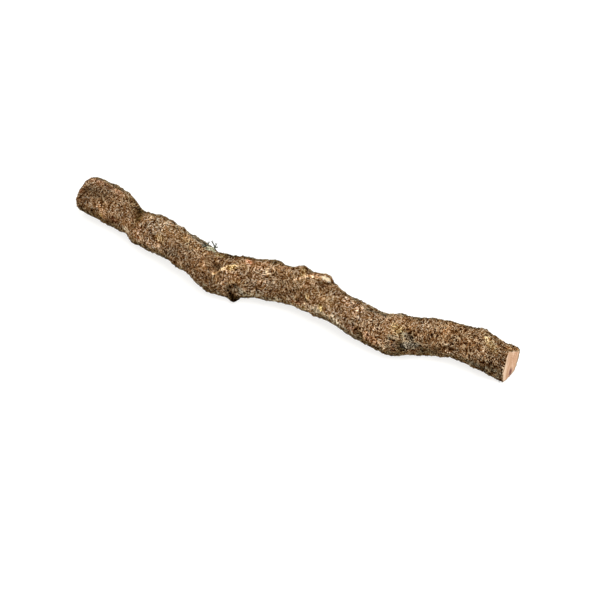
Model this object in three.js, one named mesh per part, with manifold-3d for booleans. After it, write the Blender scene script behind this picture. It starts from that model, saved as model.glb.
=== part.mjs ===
// Cork branch: one crooked limb of cork oak, sawn off at both ends and lying on its side.
// The leader of the young tree died back to a short stub, and a side limb carried on from the
// fork. Rough corky bark wraps the wood, with knots, a torn ledge and a tuft of lichen on top.
// Millimetres, +Z up, +X along the branch from its butt to its tip, resting on the plane Z = 0.

import * as THREE from "three";
import { ImprovedNoise } from "three/addons/math/ImprovedNoise.js";
import { mergeVertices } from "three/addons/utils/BufferGeometryUtils.js";
import Module from "manifold-3d";

const wasm = await Module();
wasm.setup();

// Driving dimensions

// Middle lines as [along X, across Y, height Z, radius]. Each runs past the saw cut at its end.
const LEADER = [
  [-294, 22, 20, 20],
  [-264, 20, 20.4, 21],
  [-240, 19, 21, 21.5],
  [-214, 16.5, 20.4, 21],
  [-184, 7, 18.5, 16.3],
  [-151, -1, 22, 20],
  [-119, -6, 22.5, 18.5],
  [-88, -12.5, 22, 19.3],
  [-63, -20.5, 19.5, 20],
  [-46, -25, 15.5, 16],
  [-34, -27, 10, 10],
  [-23, -31.5, 6, 6.5],
];
const SIDE_LIMB = [
  [-88, -14, 22, 12],
  [-66, -17, 21.5, 17],
  [-46, -15, 21, 19.5],
  [-25, -10, 21, 21.5],
  [-4, -4, 21, 20.5],
  [18, 0, 21.5, 19.5],
  [40, 2, 22.5, 19.5],
  [62, 0, 23, 19],
  [84, -4, 22, 17],
  [108, -8, 21.5, 18],
  [132, -9, 20, 18.5],
  [153, -6, 19.4, 20],
  [170, 4, 18.5, 19],
  [190, 13, 19.5, 18.7],
  [211, 18, 19.5, 17.5],
  [232, 19.5, 19.5, 18],
  [252, 18, 18.5, 18],
  [290, 15, 17.5, 17],
];
const LEADER_RINGS = 70;
const SIDE_LIMB_RINGS = 92;
const SIDES = 28;

// Corky bark: broad swellings, and plates that run along the limb between sunken fissures.
const SWELLING = { spacing: 42, height: 1.6 };
const PLATE = { length: 15, width: 7, height: 4, sunk: 1 };

// Knots and burrs: place along X, degrees round the limb from its top towards the front, length
// along the limb, width round it, and height.
const KNOTS = [
  { x: -171, around: 137, length: 7, width: 14, height: 2.6 },
  { x: -142, around: -43, length: 11, width: 7, height: 1.6 },
  { x: -121, around: -46, length: 5, width: 5, height: 2.2 },
  { x: -105, around: 137, length: 11, width: 11, height: 2.2 },
  { x: -130, around: 235, length: 14, width: 11, height: 3 },
  { x: 4, around: -43, length: 9, width: 8, height: 1.8 },
  { x: 31, around: -42, length: 7, width: 8, height: 4.5 },
  { x: 41, around: 70, length: 8, width: 8, height: 1.8 },
  { x: 94, around: 250, length: 13, width: 12, height: 3.2 },
  { x: 150, around: 130, length: 14, width: 15, height: 1.8 },
  { x: 156, around: -40, length: 6, width: 12, height: 2 },
  { x: 205, around: 225, length: 10, width: 10, height: 2.4 },
  { x: 233, around: -43, length: 6, width: 6, height: 1.8 },
  { x: 249, around: 3, length: 11, width: 10, height: 2.6 },
  { x: 268, around: 142, length: 7, width: 9, height: 1.6 },
];
// Bark torn up along the top: it climbs from one end and breaks off sharply at the other.
const TORN_LEDGE = { from: 26, to: 58, breakOff: 7, around: -40, width: 11, height: 6 };

// Saw cuts: a point on the flat face, and how far the blade leaned off square to +X.
const BUTT_CUT = { at: [-260, 20, 21], turn: 177, lean: -5 };
const TIP_CUT = { at: [271, 16, 17.5], turn: -4, lean: 2 };
const CUT_AWAY = 120;
const GROUND = { length: 700, width: 200, depth: 60 };

// Lichen tuft: one upright lobe, and others that fan out round it from a low cushion on the bark.
const TUFT = { x: -77, around: -34 };
const CUSHION = { radius: 5.5, height: 1.6, segments: 12, rings: 8 };
const LOBE = { length: 8, baseRadius: 1.4, tipRadius: 0.7, sides: 6 };
const LOBE_FANS = [46, 28, 46, 28, 46];
const LICHEN_GAP = 0.3;

const BARK_LOOK = { color: "#896d52", roughness: 0.95, metalness: 0 };
const LICHEN_LOOK = { color: "#9a9f86", roughness: 0.9, metalness: 0 };

// Solids and meshes

function closedSkin(geometry) {
  geometry.deleteAttribute("normal");
  geometry.deleteAttribute("uv");
  return mergeVertices(geometry);
}

function solidOf(skin) {
  const vertProperties = new Float32Array(skin.attributes.position.array);
  const triVerts = new Uint32Array(skin.index.array);
  return new wasm.Manifold(new wasm.Mesh({ numProp: 3, vertProperties, triVerts }));
}

function meshOf(solid, name, look) {
  const { vertProperties, triVerts } = solid.getMesh();
  const geometry = new THREE.BufferGeometry();
  geometry.setAttribute("position", new THREE.BufferAttribute(vertProperties, 3));
  geometry.setIndex(new THREE.BufferAttribute(triVerts, 1));
  geometry.computeVertexNormals();
  const mesh = new THREE.Mesh(geometry, new THREE.MeshStandardMaterial(look));
  mesh.name = name;
  return mesh;
}

// Bark

const noise = new ImprovedNoise();

// Height of the bark at a point of the straightened limb.
function barkHeight(along, across, up) {
  const swelling = noise.noise(
    along / SWELLING.spacing,
    across / SWELLING.spacing,
    up / SWELLING.spacing,
  );
  const fissure = Math.abs(
    noise.noise(along / PLATE.length, across / PLATE.width, up / PLATE.width),
  );
  return swelling * SWELLING.height + fissure * PLATE.height - PLATE.sunk;
}

// A smooth hump that is 1 at its middle and fades out over its length and width.
function hump(alongOffset, aroundDegrees, radius, { around, length, width }) {
  const turn = THREE.MathUtils.euclideanModulo(aroundDegrees - around + 180, 360) - 180;
  const sideways = THREE.MathUtils.degToRad(turn) * radius;
  return Math.exp(-((alongOffset / length) ** 2) - (sideways / width) ** 2);
}

function knotHeight(x, aroundDegrees, radius) {
  let height = 0;
  for (const knot of KNOTS) height += knot.height * hump(x - knot.x, aroundDegrees, radius, knot);
  const { from, to, breakOff } = TORN_LEDGE;
  const climb = THREE.MathUtils.clamp((x - from) / (to - from), 0, 1);
  const fall = 1 - THREE.MathUtils.smoothstep(x, to, to + breakOff);
  const ledge = { around: TORN_LEDGE.around, width: TORN_LEDGE.width, length: 1 };
  return height + TORN_LEDGE.height * climb * fall * hump(0, aroundDegrees, radius, ledge);
}

// Limbs

// A limb's middle line with its radius, both read by the same parameter from 0 to 1.
function limbOf(stations) {
  const points = stations.map(([x, y, z]) => new THREE.Vector3(x, y, z));
  const radii = stations.map(([x, , , radius]) => new THREE.Vector2(x, radius));
  return { line: new THREE.CatmullRomCurve3(points), girth: new THREE.SplineCurve(radii) };
}

const WORLD_UP = new THREE.Vector3(0, 0, 1);

// A point of the bark, lifted off it by a clearance. Share is 0 on the middle line and 1 outside.
function barkPoint(limb, t, aroundDegrees, share, clearance) {
  const centre = limb.line.getPoint(t);
  const tangent = limb.line.getTangent(t);
  const left = new THREE.Vector3().crossVectors(WORLD_UP, tangent).normalize();
  const up = new THREE.Vector3().crossVectors(tangent, left);
  const radius = limb.girth.getPoint(t).y;
  const angle = THREE.MathUtils.degToRad(aroundDegrees);
  const across = Math.sin(angle);
  const upwards = Math.cos(angle);
  const relief =
    barkHeight(centre.x, across * radius, upwards * radius) +
    knotHeight(centre.x, aroundDegrees, radius);
  const reach = share * (radius + relief + clearance);
  return centre.addScaledVector(up, upwards * reach).addScaledVector(left, -across * reach);
}

// A closed tube bent along the limb's middle line, its rings evenly spaced.
function limbSolid(limb, rings, clearance = 0) {
  const skin = closedSkin(new THREE.CylinderGeometry(1, 1, 1, SIDES, rings));
  const places = skin.attributes.position;
  for (let i = 0; i < places.count; i++) {
    const t = limb.line.getUtoTmapping(places.getY(i) + 0.5);
    const aroundDegrees = THREE.MathUtils.radToDeg(Math.atan2(places.getX(i), places.getZ(i)));
    const share = Math.hypot(places.getX(i), places.getZ(i));
    const point = barkPoint(limb, t, aroundDegrees, share, clearance);
    places.setXYZ(i, point.x, point.y, point.z);
  }
  return solidOf(skin);
}

// A block whose near face is the plane through a point, square to its own +X.
function blockBeyond({ at, turn, lean }) {
  const block = new THREE.BoxGeometry(CUT_AWAY, CUT_AWAY, CUT_AWAY);
  block.translate(CUT_AWAY / 2, 0, 0);
  block.rotateY(THREE.MathUtils.degToRad(lean));
  block.rotateZ(THREE.MathUtils.degToRad(turn));
  block.translate(...at);
  return solidOf(closedSkin(block));
}

// Everything below the resting plane, where the bark is rubbed flat.
function ground() {
  const slab = new THREE.BoxGeometry(GROUND.length, GROUND.width, GROUND.depth);
  slab.translate(0, 0, -GROUND.depth / 2);
  return solidOf(closedSkin(slab));
}

const leader = limbOf(LEADER);
const sideLimb = limbOf(SIDE_LIMB);

function branchSolid() {
  return limbSolid(leader, LEADER_RINGS)
    .add(limbSolid(sideLimb, SIDE_LIMB_RINGS))
    .subtract(blockBeyond(BUTT_CUT))
    .subtract(blockBeyond(TIP_CUT))
    .subtract(ground());
}

// Lichen

// The limb's parameter where its middle line passes a place along X, found by halving.
function parameterAt(limb, x) {
  const halvings = 30;
  let low = 0;
  let high = 1;
  for (let step = 0; step < halvings; step++) {
    const middle = (low + high) / 2;
    if (limb.line.getPoint(middle).x < x) low = middle;
    else high = middle;
  }
  return low;
}

// Sets a shape that stands on its own Z = 0 onto the bark, leaning off the bark's normal.
function standOnBark(shape, foot, normal, headingDegrees, fanDegrees) {
  const upright = new THREE.Quaternion().setFromUnitVectors(WORLD_UP, normal);
  shape.rotateX(THREE.MathUtils.degToRad(fanDegrees));
  shape.rotateZ(THREE.MathUtils.degToRad(headingDegrees));
  shape.applyQuaternion(upright);
  shape.translate(foot.x, foot.y, foot.z);
  return solidOf(closedSkin(shape));
}

function lobeShape() {
  const lobe = new THREE.CylinderGeometry(LOBE.tipRadius, LOBE.baseRadius, LOBE.length, LOBE.sides);
  lobe.rotateX(Math.PI / 2);
  lobe.translate(0, 0, LOBE.length / 2);
  return lobe;
}

function lichenSolid() {
  const t = parameterAt(leader, TUFT.x);
  const foot = barkPoint(leader, t, TUFT.around, 1, 0);
  const normal = foot.clone().sub(leader.line.getPoint(t)).normalize();
  const cushion = new THREE.SphereGeometry(1, CUSHION.segments, CUSHION.rings);
  cushion.scale(CUSHION.radius, CUSHION.radius, CUSHION.height);
  let tuft = standOnBark(cushion, foot, normal, 0, 0).add(
    standOnBark(lobeShape(), foot, normal, 0, 0),
  );
  LOBE_FANS.forEach((fan, i) => {
    const heading = (i * 360) / LOBE_FANS.length;
    tuft = tuft.add(standOnBark(lobeShape(), foot, normal, heading, fan));
  });
  return tuft
    .subtract(limbSolid(leader, LEADER_RINGS, LICHEN_GAP))
    .subtract(limbSolid(sideLimb, SIDE_LIMB_RINGS, LICHEN_GAP));
}

// Assembly, moved so that the origin is under the middle of the branch

const pieces = new THREE.Group();
pieces.add(meshOf(branchSolid(), "branch", BARK_LOOK));
pieces.add(meshOf(lichenSolid(), "lichen_tuft", LICHEN_LOOK));

const middle = new THREE.Box3().setFromObject(pieces).getCenter(new THREE.Vector3());
pieces.position.set(-middle.x, -middle.y, 0);

const corkBranch = new THREE.Group();
corkBranch.name = "cork_branch";
corkBranch.add(pieces);

export default corkBranch;
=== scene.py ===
# Cork branch: a crooked length of cork oak, sawn off at both ends and lying on its side, with rough
# corky bark, a dead stub at its fork, a torn ledge and a tuft of lichen. Metres, +Z up.

import math

import bmesh
import bpy
import numpy as np
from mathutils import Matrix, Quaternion, Vector


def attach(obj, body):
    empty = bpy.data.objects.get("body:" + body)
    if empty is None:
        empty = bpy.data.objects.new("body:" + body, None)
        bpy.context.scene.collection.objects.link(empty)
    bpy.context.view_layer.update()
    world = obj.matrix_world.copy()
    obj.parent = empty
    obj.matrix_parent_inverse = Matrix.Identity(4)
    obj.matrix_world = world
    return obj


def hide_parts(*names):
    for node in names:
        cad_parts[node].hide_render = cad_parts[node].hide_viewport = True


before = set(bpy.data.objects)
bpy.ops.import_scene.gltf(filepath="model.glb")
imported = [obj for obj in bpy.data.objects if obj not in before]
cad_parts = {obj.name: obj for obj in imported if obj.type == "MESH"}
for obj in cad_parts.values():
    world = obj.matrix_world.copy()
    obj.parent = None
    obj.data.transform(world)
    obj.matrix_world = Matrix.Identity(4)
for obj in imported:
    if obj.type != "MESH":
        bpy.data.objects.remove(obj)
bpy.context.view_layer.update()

# The limb
# One grown piece of wood with its bark, a leader that died back to a stub and a side limb that
# carried on. Its form is the frame's own solid, taken here as a fine even skin for the bark.

MM = 0.001
BUTT, TIP = -1, 1
SKIN_STEP = 1.02 * MM
SKIN_SMOOTHING = 26
WELD = 0.001 * MM

# a saw face is flat, looks along the limb and lies this near its end
SAW_SQUARENESS = 0.98
SAW_SEARCH = 15 * MM
SAW_FLATNESS = 0.05 * MM

# the skin runs on past both saw cuts, so that the cuts can be made through the finished bark
SAW_OVERHANG = 4 * MM

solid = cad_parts["branch"].data


def points_of(mesh):
    """A mesh's vertices as rows of x, y and z."""
    flat = np.empty(len(mesh.vertices) * 3, np.float32)
    mesh.vertices.foreach_get("co", flat)
    return flat.reshape(-1, 3).astype(float)


def shown(name, content):
    """Puts a mesh, a curve, a lamp or a camera into the scene."""
    piece = bpy.data.objects.new(name, content)
    bpy.context.scene.collection.objects.link(piece)
    return piece


def plain_mesh(piece):
    """What a piece's curves and modifiers make, as a mesh of its own."""
    graph = bpy.context.evaluated_depsgraph_get()
    return bpy.data.meshes.new_from_object(piece.evaluated_get(graph))


def made_plain(piece):
    """Gives a piece the plain mesh that its modifiers make of it."""
    mesh = plain_mesh(piece)
    piece.modifiers.clear()
    piece.data = mesh
    return mesh


def saw_plane(end):
    """A point on the flat face that the saw left at one end, and the way that face looks."""
    reach = max(vertex.co.x * end for vertex in solid.vertices) - SAW_SEARCH
    square = [face for face in solid.polygons if face.normal.x * end > SAW_SQUARENESS]
    faces = [face for face in square if face.center.x * end > reach]
    area = sum(face.area for face in faces)
    middle = sum((face.center * face.area for face in faces), Vector()) / area
    facing = sum((face.normal * face.area for face in faces), Vector())
    return middle, facing.normalized()


saw_planes = {end: saw_plane(end) for end in (BUTT, TIP)}

limb = bmesh.new()
limb.from_mesh(solid)
bmesh.ops.remove_doubles(limb, verts=limb.verts, dist=WELD)
for middle, facing in saw_planes.values():
    for vertex in limb.verts:
        if abs((vertex.co - middle).dot(facing)) < SAW_FLATNESS:
            vertex.co += facing * SAW_OVERHANG
skin_mesh = bpy.data.meshes.new("cork_branch")
limb.to_mesh(skin_mesh)
limb.free()
branch = shown("cork_branch", skin_mesh)
even = branch.modifiers.new("even skin", "REMESH")
even.mode = "VOXEL"
even.voxel_size = SKIN_STEP
smooth = branch.modifiers.new("smooth skin", "SMOOTH")
smooth.factor = 0.5
smooth.iterations = SKIN_SMOOTHING
skin = made_plain(branch)
skin_points = points_of(skin) / MM

# the limb swells to a squarish section where the saw cut its tip: its corners, across and up, and the
# length that it swells over, in mm
TIP_SECTION = [
    (10.3, 39.5), (8, 31.8), (6.4, 23.8), (4.5, 14), (6.8, 1.8), (17.2, 0.5),
    (24.5, 0.1), (29, 2.9), (31.8, 7), (34.3, 16.4), (35.4, 26.1), (23.6, 32.8),
]
TIP_SWELL = 24.0
POINTS_PER_SIDE = 20
HALF_SLICE = 1.0


def radius_by_angle(outline, middle):
    """How far an outline lies from its middle, as a function of the angle round it."""
    spokes = outline - middle
    angles = np.arctan2(spokes[:, 1], spokes[:, 0])
    order = np.argsort(angles)
    radii = np.linalg.norm(spokes, axis=1)
    return lambda turn: np.interp(turn, angles[order], radii[order], period=math.tau)


tip_middle, tip_facing = (np.array(part) for part in saw_planes[TIP])
before_cut = (tip_middle / MM - skin_points) @ tip_facing
corners = np.array(TIP_SECTION)
next_corners = np.roll(corners, -1, axis=0)
sides = [np.linspace(start, stop, POINTS_PER_SIDE) for start, stop in zip(corners, next_corners)]
pith = corners.mean(axis=0)
cut_section = radius_by_angle(np.concatenate(sides), pith)
grown_section = radius_by_angle(skin_points[np.abs(before_cut) < HALF_SLICE][:, 1:], pith)
spokes = skin_points[:, 1:] - pith
turns = np.arctan2(spokes[:, 1], spokes[:, 0])
share = np.clip(1 - before_cut / TIP_SWELL, 0, 1)
share = share * share * (3 - 2 * share)
swell = 1 + (cut_section(turns) / grown_section(turns) - 1) * share
skin_points[:, 1:] = pith + spokes * swell[:, None]
skin.vertices.foreach_set("co", (skin_points * MM).astype(np.float32).ravel())
skin.update()

# the limb's middle line, read off the skin slice by slice, in mm
LINE_STEP = 8.0
LINE_SMOOTHING = 5
slices = np.arange(skin_points[:, 0].min(), skin_points[:, 0].max(), LINE_STEP)
slice_of = np.digitize(skin_points[:, 0], slices) - 1
middles = np.array([skin_points[slice_of == i].mean(axis=0) for i in range(len(slices))])
window = np.ones(LINE_SMOOTHING) / LINE_SMOOTHING
margin = LINE_SMOOTHING // 2
padded = np.pad(middles, ((margin, margin), (0, 0)), mode="edge")
line = np.stack([np.convolve(column, window, "valid") for column in padded.T], 1)
line[:, 0] = middles[:, 0]
line_steps = np.linalg.norm(np.diff(line, axis=0), axis=1)
line_lengths = np.concatenate([[0], np.cumsum(line_steps)])
line_ways = np.gradient(line, axis=0)
line_ways /= np.linalg.norm(line_ways, axis=1)[:, None]


def grain_of(points):
    """Where points would lie, in mm, if the limb were straight: along it, across it and up."""
    def along_line(values):
        return np.interp(points[:, 0], line[:, 0], values)
    middle = np.stack([along_line(line[:, axis]) for axis in range(3)], 1)
    way = np.stack([along_line(line_ways[:, axis]) for axis in range(3)], 1)
    left = np.stack([-way[:, 1], way[:, 0], np.zeros(len(way))], 1)
    left /= np.linalg.norm(left, axis=1)[:, None]
    up = np.cross(way, left)
    off = points - middle
    along = along_line(line_lengths) + (off * way).sum(axis=1)
    return np.stack([along, (off * left).sum(axis=1), (off * up).sum(axis=1)], 1)


def put(mesh, name, values):
    """Stores one value, or one vector, for each vertex."""
    kind = "FLOAT" if values.ndim == 1 else "FLOAT_VECTOR"
    field = "value" if values.ndim == 1 else "vector"
    stored = mesh.attributes.new(name, kind, "POINT")
    stored.data.foreach_set(field, values.astype(np.float32).ravel())


put(skin, "grain", grain_of(skin_points))

# The bark
# Young cork oak bark: short crumbly ridges of tan cork that turn every way, dark pits between
# them. It grew with the wood, so it is the limb's own surface, raised by a rule and by its scars.

# what a scar can change: the bark's height in mm, its wear and its hold on the wood, and its colour
FORM_CHANGES = ("lift", "smooth", "bare")
COLOUR_CHANGES = ("pale", "dark", "rust", "olive", "crust", "rough", "film_and_shade")

# where each scar, stain and painted shade runs, the width that it fades over, both in mm, and how much it
# changes; the darkening of pits, cracks, folds and notches, and under lips, is partly painted shade
MARKS = {
    # the fork and its dead stub
    "lip of the fork": (
        [(-54.8, -33.8, 31.2), (-51.8, -30.3, 31.9), (-48.2, -27.7, 35.2), (-44.3, -23.1, 37.4),
         (-37.9, -20.7, 39.1), (-29.8, -17, 41), (-24.5, -17.5, 40.9)],
        1.4, {"lift": 1.6, "pale": 0.9, "olive": 0.35, "smooth": 1.1}),
    "side of the lip": (
        [(-53.5, -34.4, 30.2), (-52.5, -34.9, 29.2), (-49.1, -36.3, 24.5)],
        1.3, {"lift": 0.8, "pale": 0.6, "olive": 0.3, "smooth": 0.6}),
    "shade under the lip": (
        [(-50.3, -31.6, 30.6), (-45.8, -29.8, 32.6)], 1.8, {"lift": -1.2, "dark": 0.8}),
    "fold behind the lip": (
        [(-60.5, -24, 37.5), (-56, -26, 37), (-53, -29, 34.5)],
        3.6, {"lift": -1.8, "dark": 0.7, "rust": 0.2}),
    "eye of the fold": (
        [(-56.5, -25, 37.5), (-55, -26.5, 36.5)], 1.3, {"lift": -1.0, "dark": 0.8, "smooth": 0.6}),
    "olive spot on the lip": ([(-41.2, -24.5, 37), (-36, -21.9, 38.1)], 2.4, {"olive": 0.9, "pale": 1.1}),
    "rust on the leader's heel": ([(-25, -8.5, 42), (-28, -6.5, 42)], 2.6, {"rust": 0.9, "pale": 1.2}),
    # painted shade: the stub and its tip are darkened for the shade under them, and the stub's shadow is
    # painted on
    "stub": ([(-36, -33, 17), (-33, -34, 11), (-29, -33, 4)], 5.5, {"dark": 1.0}),
    "stub's shadow": ([(-33.5, -34.5, 10.5), (-30.5, -35, 8)], 3.4, {"dark": 0.8, "lift": -0.6}),
    "tip of the stub": (
        [(-29.8, -34.7, 11), (-28.5, -33.1, 7.8), (-28.3, -29.7, 4.4)], 4.0, {"dark": 1.0}),
    "nubs behind the fork": (
        [(-57.5, -6.5, 37.5), (-52.5, -5.5, 37)], 1.8, {"lift": 1.5, "dark": 0.6, "film_and_shade": 0.6}),
    "dip behind the fork": (
        [(-58, -13, 39), (-53, -12.5, 38.5), (-48, -11.5, 38.5)], 6.0, {"lift": -1.3}),
    "dip past the fork": ([(-22, -0.4, 40), (-14, 2.1, 39.5)], 6.0, {"lift": -1.1}),
    "peak behind the fork": ([(-46.5, -4.7, 37.5)], 2.2, {"lift": 1.8, "dark": 0.7}),
    "lip over the stub": (
        [(-37.5, -32, 23.5), (-31.5, -30, 27.5), (-24.5, -27.5, 28), (-17.5, -26.5, 26.5)],
        1.8, {"lift": 1.3, "pale": 0.5, "olive": 0.3, "smooth": 0.5}),
    "lichen on the stub": (
        [(-31, -31, 21), (-25.5, -30, 23), (-24.5, -28, 14)], 3.0, {"crust": 0.6, "pale": 0.2}),
    "pale fleck by the stub": ([(-42.5, -34, 23)], 1.6, {"pale": 1.3, "smooth": 1.0}),
    # from the fork to the ledge
    "scab past the fork": (
        [(-4, -9, 40.5), (0, -13, 37)], 2.6, {"lift": 0.9, "pale": 0.8, "olive": 0.2, "smooth": 0.7}),
    "crack past the scab": (
        [(-4.5, -17.5, 34), (0.5, -14, 36.5), (6, -7.5, 40)], 1.3, {"lift": -1.4, "dark": 0.8}),
    "green knob on the crest": (
        [(-4, 4.5, 41), (0.5, 6, 41)], 4.2, {"lift": 2.2, "dark": 0.5, "film_and_shade": 1.0}),
    "violet crest": ([(8, 4, 40.5), (13, 6, 39.5)], 2.4, {"rust": 0.5, "dark": 0.4}),
    "peak before the ledge": ([(27.5, 13, 42)], 3.4, {"lift": 1.6, "dark": 0.45, "olive": 0.5}),
    "golden side of the peak": ([(30.6, 9, 42.1), (32.5, 3.1, 41.4)], 3.5, {"pale": 0.5, "olive": 0.6}),
    "pit below the ledge": ([(36.7, -12.7, 35.1)], 2.0, {"lift": -1.2, "dark": 0.9}),
    # the torn ledge and what lies below it
    "ledge": (
        [(28.5, -5.8, 38.6), (33, -1.3, 40.5), (37.2, 3.5, 41.8), (45.6, 3.7, 43.2), (53, 5.5, 44.5)],
        2.2, {"lift": 1.2, "pale": 1.25, "olive": 0.15, "smooth": 1.4}),
    "pink bark over the ledge": (
        [(40.5, 6.5, 43), (50.5, 9.5, 45)], 2.0, {"rust": 0.5, "pale": 0.2, "smooth": 0.6}),
    "torn wood": ([(55.3, 7.6, 44.1), (59.2, 9, 42)], 2.8, {"bare": 1.3, "smooth": 1.2}),
    "shade under the torn wood": (
        [(56.3, 0.2, 42.8), (63.7, 7.7, 39.8)], 1.8, {"lift": -1.2, "dark": 0.9}),
    "fleck under the ledge": ([(50.5, -3.5, 42), (54.5, -4.5, 42.5)], 1.2, {"pale": 1.2, "smooth": 0.8}),
    "golden knob": ([(50, -16, 32.5)], 3.4, {"lift": 1.2, "pale": 0.9, "olive": 0.6, "smooth": 0.7}),
    "rust below the knob": (
        [(32.5, -16, 20), (38, -16.5, 18.5), (43, -16.5, 26)], 2.6, {"rust": 0.9, "dark": 0.35}),
    "flake below the knob": ([(44, -16.5, 21.5), (48.5, -17.5, 24.5)], 1.3, {"pale": 1.1, "smooth": 0.8}),
    "white lichen low down": ([(60, -19, 23.5), (65.5, -19.5, 23.5)], 2.6, {"crust": 1.1, "pale": 0.3}),
    "green stripe": ([(66, -17, 29.5), (69, -19.5, 26)], 2.2, {"olive": 0.9, "pale": 0.3}),
    "pale stripe low down": (
        [(70, -20.5, 22), (84, -21.5, 22), (102, -24.5, 20)], 2.4, {"pale": 0.5, "crust": 0.6}),
    # the bend
    "light bark on the bend": (
        [(90, -7.5, 39), (102.7, -8.9, 39.2), (111, -9.5, 39.5)], 5.5, {"pale": 0.6}),
    "dark pit on the bend": ([(102, -25.5, 26)], 1.4, {"lift": -1.2, "dark": 1.0}),
    "rust on the bend": ([(105, -26, 24), (114, -26.5, 23.5)], 3.0, {"rust": 0.6}),
    "green notch low down": ([(115, -26.5, 23.5), (121, -26, 21)], 2.6, {"dark": 0.7, "film_and_shade": 0.8}),
    "pale line by the notch": ([(122, -26, 22.5), (125, -26.5, 19)], 1.1, {"pale": 1.1, "smooth": 0.6}),
    "green crest on the bend": (
        [(115, -5.5, 38), (128.5, -3, 37), (136, -3.5, 38)],
        2.4, {"dark": 0.5, "film_and_shade": 0.9, "crust": 0.4}),
    "rust before the hollow": ([(127.5, -25.5, 23.5), (138.5, -26.5, 19)], 4.0, {"rust": 0.4}),
    "cream spot": ([(147, -27, 15), (150, -26.5, 15.5)], 1.5, {"pale": 1.2, "smooth": 0.8}),
    # the hollow past the bend
    "damp hollow": ([(155, -24, 21), (163, -19, 22)], 7.0, {"dark": 0.25, "crust": 0.3, "rough": 1.7}),
    "grey bark in the hollow": (
        [(163.2, -14.2, 31.6), (169.6, -11.2, 28.6)],
        4.5, {"crust": 0.5, "film_and_shade": 0.3, "dark": 0.35, "rough": 1.8}),
    "grey belly of the hollow": (
        [(168, -16.5, 21), (176, -10.5, 20)],
        5.5, {"dark": 0.2, "crust": 0.4, "film_and_shade": 0.3, "rough": 1.8}),
    "pits of the hollow": (
        [(161.6, -20.7, 23.8), (164.8, -19.8, 16.9)], 3.4, {"dark": 1.4, "lift": -1.2}),
    "pits by the lichen": (
        [(149.2, -23.3, 27.1), (156.3, -20.9, 27.4)], 1.4, {"dark": 0.9, "lift": -0.8}),
    "lichen over the hollow": (
        [(150.5, -21.8, 29.6), (154, -21, 30)], 2.2, {"crust": 1.2, "film_and_shade": 0.3, "pale": 0.4}),
    "light strokes past the hollow": (
        [(174.6, -8, 29.9), (178.4, -6.5, 28)], 2.2, {"pale": 0.7, "crust": 0.5}),
    "pink belly of the hollow": (
        [(169.9, -14.5, 15.5), (178.1, -8.9, 15.3)], 1.8, {"rust": 0.5, "pale": 0.35}),
    "mauve bark in the hollow": (
        [(155.4, -23.9, 23.2), (157.1, -24.2, 16.5)], 2.8, {"rust": 0.6, "dark": 0.3}),
    "golden bark over the hollow": (
        [(152.5, -13.5, 36.5), (159.5, -14, 33.5)], 5.0, {"pale": 0.35, "olive": 0.75}),
    # the last stretch and the tip
    "shade along the last stretch": (
        [(193.5, -2, 19), (201, 0.5, 22), (209, 2, 21.5)], 2.2, {"dark": 0.7, "lift": -0.8}),
    "end knot": (
        [(238, 18.5, 38.5), (245.5, 13, 37), (253, 10, 36)],
        4.2, {"lift": 0.6, "pale": 0.6, "olive": 0.55}),
    "pit by the end knot": ([(234.5, 28.5, 36)], 1.8, {"lift": 0.8, "dark": 1.0}),
    "shade by the tip": ([(254, 15.5, 37.5), (260, 15.5, 35.5)], 2.6, {"dark": 0.6, "rust": 0.4}),
    "broken bark at the tip": (
        [(260, 21, 35.5), (264, 26, 33), (264.6, 31, 29)],
        3.0, {"pale": 0.6, "rust": 0.8, "olive": 0.5, "smooth": 0.5}),
    "lichen low at the tip": (
        [(226.5, 2.5, 15), (247.5, -0.5, 16.5), (263.5, -1, 15.5)], 2.4, {"film_and_shade": 0.9, "crust": 0.35}),
    # the butt and the neck
    "pink butt": ([(-256.5, 24.5, 42.5), (-218, 19, 41)], 4.0, {"rust": 0.35, "pale": 0.3}),
    "notch in the butt": ([(-234.5, 22, 42.5)], 2.2, {"lift": -1.5, "dark": 0.9}),
    "grey bark by the notch": ([(-227.5, 19.5, 41.5)], 4.5, {"crust": 0.5, "pale": 0.2}),
    "shade on the butt": ([(-253, 7, 39), (-232.5, 7, 37.5)], 4.0, {"dark": 0.45}),
    "shade under the butt": ([(-259, -0.5, 18.5), (-238.5, -1.5, 18.5)], 5.0, {"dark": 0.4}),
    "light fan on the butt": ([(-236, 0.5, 32), (-226, -2.5, 24)], 3.6, {"pale": 0.4}),
    "olive on the butt": ([(-229, -2.5, 20)], 2.6, {"olive": 1.0, "pale": 0.3}),
    "rust on the butt": ([(-262, 5.5, 35.5)], 2.0, {"rust": 0.9}),
    "red spot": ([(-212.5, -4, 23), (-207, -4, 20)], 2.6, {"rust": 1.0, "dark": 0.2}),
    "flake under the neck": (
        [(-195, -7, 18.5), (-186.5, -9.5, 18.5)], 2.2, {"crust": 0.9, "pale": 0.4, "smooth": 0.8}),
    "light strokes on the neck": ([(-201.5, 15.5, 36), (-195, 15.5, 33.5)], 1.6, {"pale": 0.8}),
    # the leader, from the neck to the fork
    "smooth dark spot": (
        [(-176.5, -2.5, 36)], 4.6, {"dark": 0.6, "olive": 0.8, "smooth": 1.2, "lift": -0.6}),
    "lichen by the spot": ([(-167.5, -9.5, 36)], 2.0, {"crust": 1.1}),
    "pink bark past the spot": ([(-167.5, -13.5, 31.5)], 4.0, {"rust": 0.4, "pale": 0.3}),
    "red edge": ([(-168.5, -16.5, 19.5)], 2.2, {"rust": 1.1, "dark": 0.3}),
    "lump on the crest": ([(-160.5, 6.5, 39.5)], 2.0, {"lift": 1.0, "dark": 0.6}),
    "golden bark on the leader": (
        [(-139.5, -16.5, 35), (-132.5, -18, 33.5)], 4.0, {"pale": 0.45, "olive": 0.4}),
    "pale flake on the crest": (
        [(-138, 4, 41), (-132.5, 1.5, 40)], 1.8, {"lift": 0.8, "pale": 0.8, "rust": 0.2, "smooth": 0.6}),
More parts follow.
